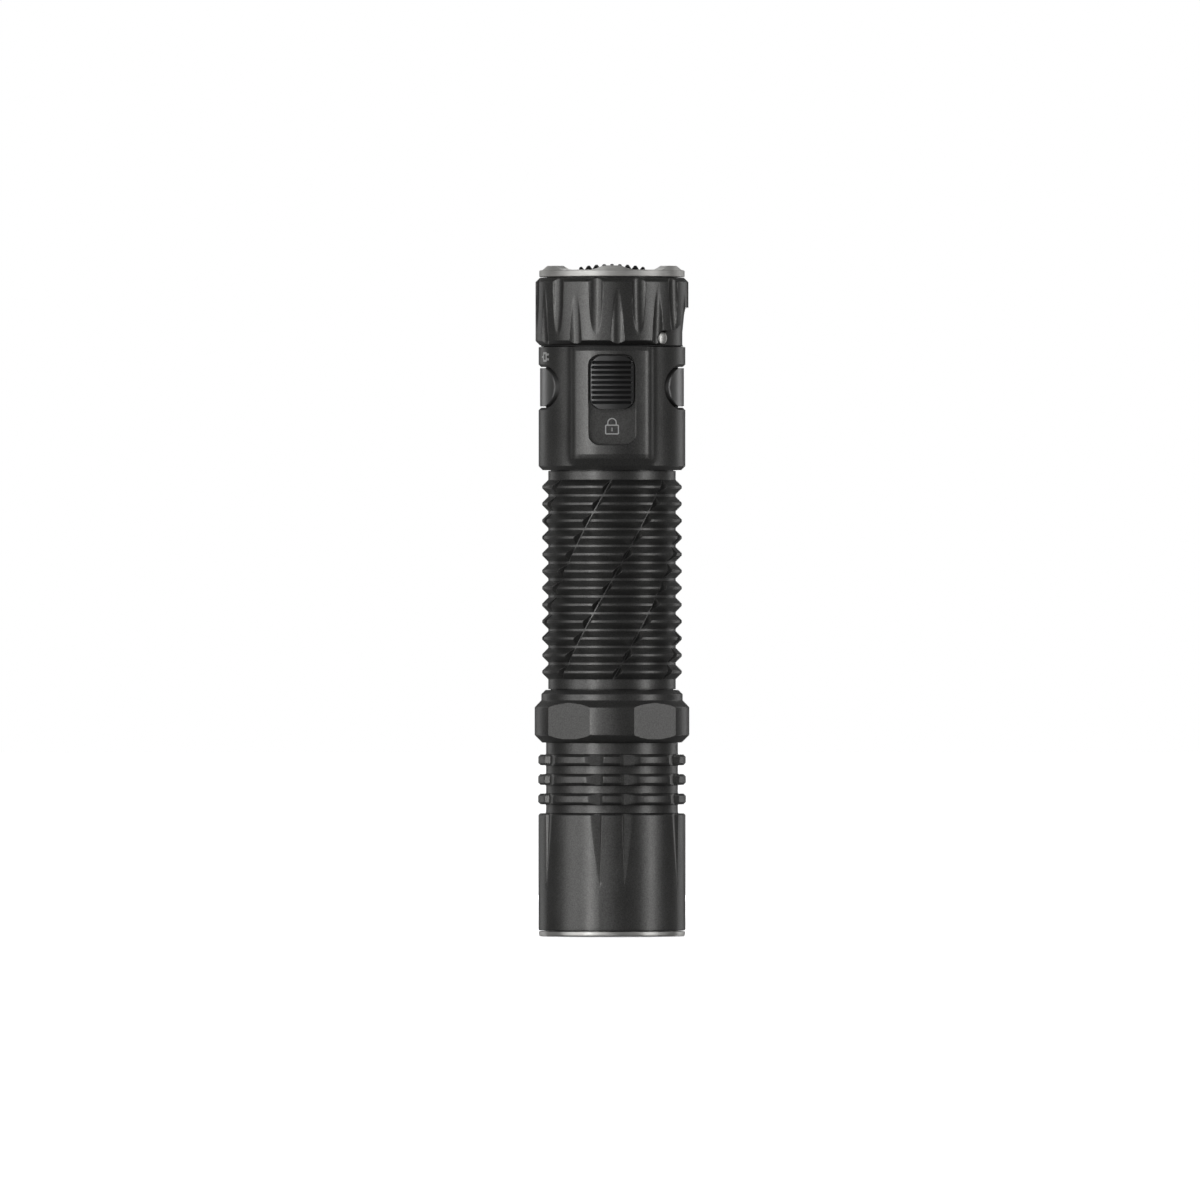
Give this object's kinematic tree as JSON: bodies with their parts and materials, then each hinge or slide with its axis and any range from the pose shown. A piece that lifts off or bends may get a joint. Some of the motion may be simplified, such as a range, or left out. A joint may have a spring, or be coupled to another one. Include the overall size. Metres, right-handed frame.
{
  "type": "tactical flashlight",
  "caption": "Hand-held tactical flashlight with a ribbed grip tube, finned head, steel crown, knurled tail switch, sliding lock, side mode button and covered charging port.",
  "frame": {"origin": "centre of the front bezel's face, on the light's axis", "axes": "+Z runs along the body from the head to the tail; -Y is the side with the lock slider; +X is the side with the mode button"},
  "size_m": [0.0268, 0.027, 0.116],
  "materials": {
    "anodised_body": "fine bead-blasted hard-anodised aluminium, satin dark grey",
    "steel": "turned stainless steel, satin",
    "crown_steel": "turned and tumbled stainless steel",
    "black_rubber": "matte moulded black rubber",
    "black_slider": "matte moulded black plastic with ridges",
    "black_plastic": "matte black moulded plastic",
    "white_plastic": "matte white plastic",
    "lens_glass": "clear coated glass",
    "mirror_reflector": "smooth aluminised bowl",
    "led_phosphor": "yellow phosphor under clear silicone",
    "copper_board": "copper-core board with white mask",
    "circuit_board": "green masked circuit board",
    "brass": "gold-plated brass",
    "cell_wrap": "blue shrink wrap"
  },
  "bodies": {
    "light_body": {"battery_tube": "anodised_body", "front_seal": "black_rubber", "back_seal": "black_rubber", "tail_spring": "brass", "control_board": "circuit_board", "control_chip": "black_plastic", "usb_socket": "steel", "usb_tongue": "black_plastic", "port_frame": "black_plastic", "mode_switch": "black_plastic", "tail_housing": "anodised_body", "detent_ball": "steel", "detent_leaf": "steel", "lock_sensor": "black_plastic", "grip_ring": "anodised_body", "lanyard_pin_front": "steel", "lanyard_pin_back": "steel", "crown_ring": "crown_steel", "switch_frame": "black_plastic", "switch_board": "circuit_board", "tail_switch": "steel", "button_spring": "steel"},
    "cell": {"battery_cell": "cell_wrap", "cell_cap": "steel"},
    "head": {"head_body": "anodised_body", "front_bezel": "steel", "lens_seal": "black_rubber", "lens": "lens_glass", "reflector": "mirror_reflector", "led_collar": "white_plastic", "led_emitter": "led_phosphor", "led_board": "copper_board", "driver_board": "circuit_board", "driver_chip": "black_plastic", "driver_ring": "brass", "head_contact": "brass"},
    "tail_switch_cap": {"tail_button": "black_rubber", "switch_plunger": "black_plastic"},
    "lock": {"lock_slider": "black_slider", "slider_magnet": "steel"},
    "mode_key": {"mode_button": "black_rubber"},
    "port_flap": {"port_cover": "black_rubber"}
  },
  "joints": [
    {"name": "tail_press", "type": "slide", "parent": "light_body", "child": "tail_switch_cap", "axis": [0, 0, -1], "range_m": [0, 0.0015], "stiffness_N_per_m": 1200, "springref_m": -0.0004, "deforming": ["button_spring"]},
    {"name": "lock_slide", "type": "slide", "parent": "light_body", "child": "lock", "axis": [0, 0, -1], "range_m": [0, 0.0061]},
    {"name": "mode_press", "type": "slide", "parent": "light_body", "child": "mode_key", "axis": [-1, 0, 0], "range_m": [0, 0.0006], "stiffness_N_per_m": 2000, "springref_m": -0.0003},
    {"name": "cover_hinge", "type": "hinge", "parent": "light_body", "child": "port_flap", "pos_m": [-0.0093, 0.0083, 0.0947], "axis": [0, 0, -1], "range_deg": [0, 100]},
    {"name": "cell_lift", "type": "slide", "parent": "light_body", "child": "cell", "axis": [0, 0, -1], "range_m": [0, 0.005], "deforming": ["tail_spring"]},
    {"name": "head_turn", "type": "hinge", "parent": "cell", "child": "head", "pos_m": [0, 0, 0.038], "axis": [0, 0, -1], "range_deg": [0, 1440]}
  ],
  "couplings": [
    {"joint": "cell_lift", "follows": "head_turn", "m_per_rad": 0.00019894}
  ]
}
